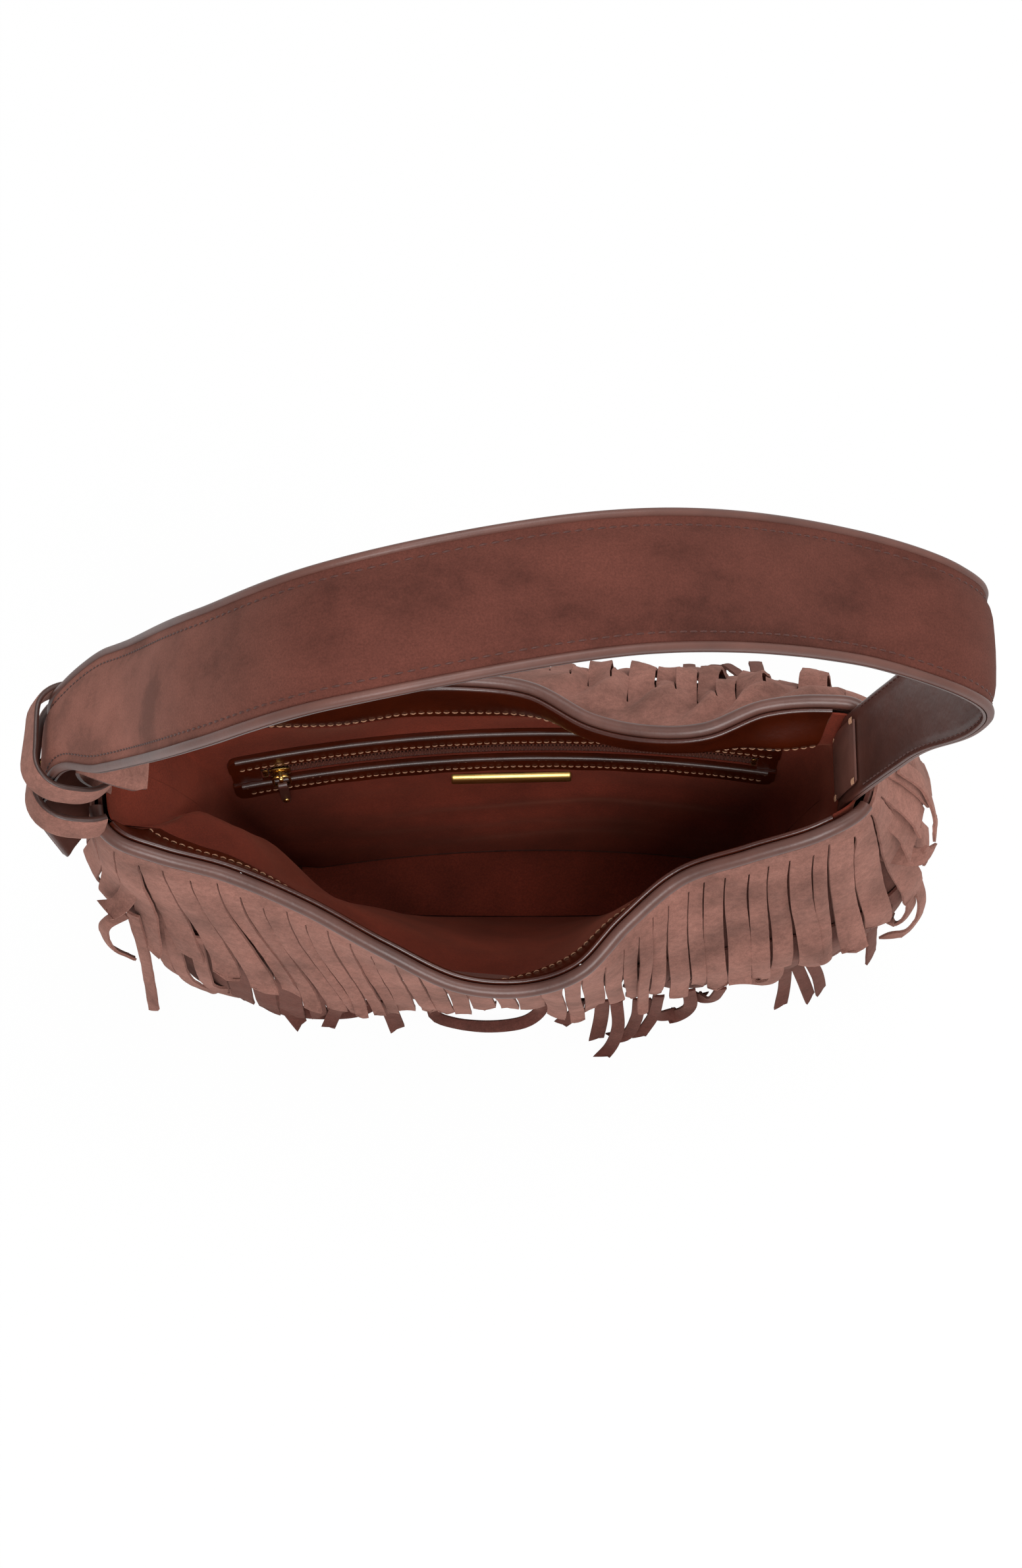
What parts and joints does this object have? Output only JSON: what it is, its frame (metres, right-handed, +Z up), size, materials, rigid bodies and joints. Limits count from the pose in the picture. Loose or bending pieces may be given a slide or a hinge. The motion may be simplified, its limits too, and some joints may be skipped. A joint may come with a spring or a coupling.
{
  "type": "handbag",
  "caption": "Fringed suede hobo bag with a padded shoulder strap knotted at one end, a leather-bound open mouth, a lined inside, a zip pocket and a plain metal bar.",
  "frame": {"origin": "on the floor, under the middle of the base, between the left and right ends", "axes": "+X to the bag's right end, +Y to its back, +Z up to the top of the strap"},
  "size_m": [0.3725, 0.1672, 0.4171],
  "materials": {
    "suede": "matte",
    "suede_dark": "matte",
    "edge_leather": "satin",
    "facing_leather": "satin",
    "lining_cloth": "matte",
    "zip_tape": "matte",
    "gold_metal": "polished"
  },
  "bodies": {
    "bag": {"base_panel": "suede_dark", "front_panel": "suede_dark", "back_panel": "suede_dark", "front_binding": "edge_leather", "back_binding": "edge_leather", "front_facing": "facing_leather", "back_facing": "facing_leather", "lining_front": "lining_cloth", "lining_back": "lining_cloth", "lining_floor": "lining_cloth", "pocket_upper_welt": "facing_leather", "pocket_lower_welt": "facing_leather", "zip_tape_upper": "zip_tape", "zip_coil_upper": "zip_tape", "zip_tape_lower": "zip_tape", "zip_coil_lower": "zip_tape", "pocket_pouch": "lining_cloth", "zip_stop_left": "gold_metal", "zip_stop_right": "gold_metal", "metal_bar": "gold_metal", "strap_lining": "edge_leather", "strap_core": "lining_cloth", "strap_outer": "suede", "strap_stud": "gold_metal", "strap_anchor": "edge_leather", "end_tab": "suede", "keeper_upper": "suede", "keeper_lower": "suede", "fringe_front_upper": "suede", "fringe_front_lower": "suede_dark", "fringe_back_upper": "suede", "fringe_back_lower": "suede_dark"},
    "slider": {"zip_slider": "gold_metal"},
    "pull": {"zip_pull_ring": "gold_metal", "zip_pull_tab": "suede_dark", "zip_pull_rivet": "gold_metal"}
  },
  "joints": [
    {"name": "zip_travel", "type": "hinge", "parent": "bag", "child": "slider", "pos_m": [0.015, -0.6249, 0.1036], "axis": [0, 0, -1], "range_deg": [0, 17.04]},
    {"name": "pull_swing", "type": "hinge", "parent": "slider", "child": "pull", "pos_m": [-0.09615, 0.0117, 0.10439], "axis": [-0.9851, -0.172, 0], "range_deg": [0, 100]}
  ]
}
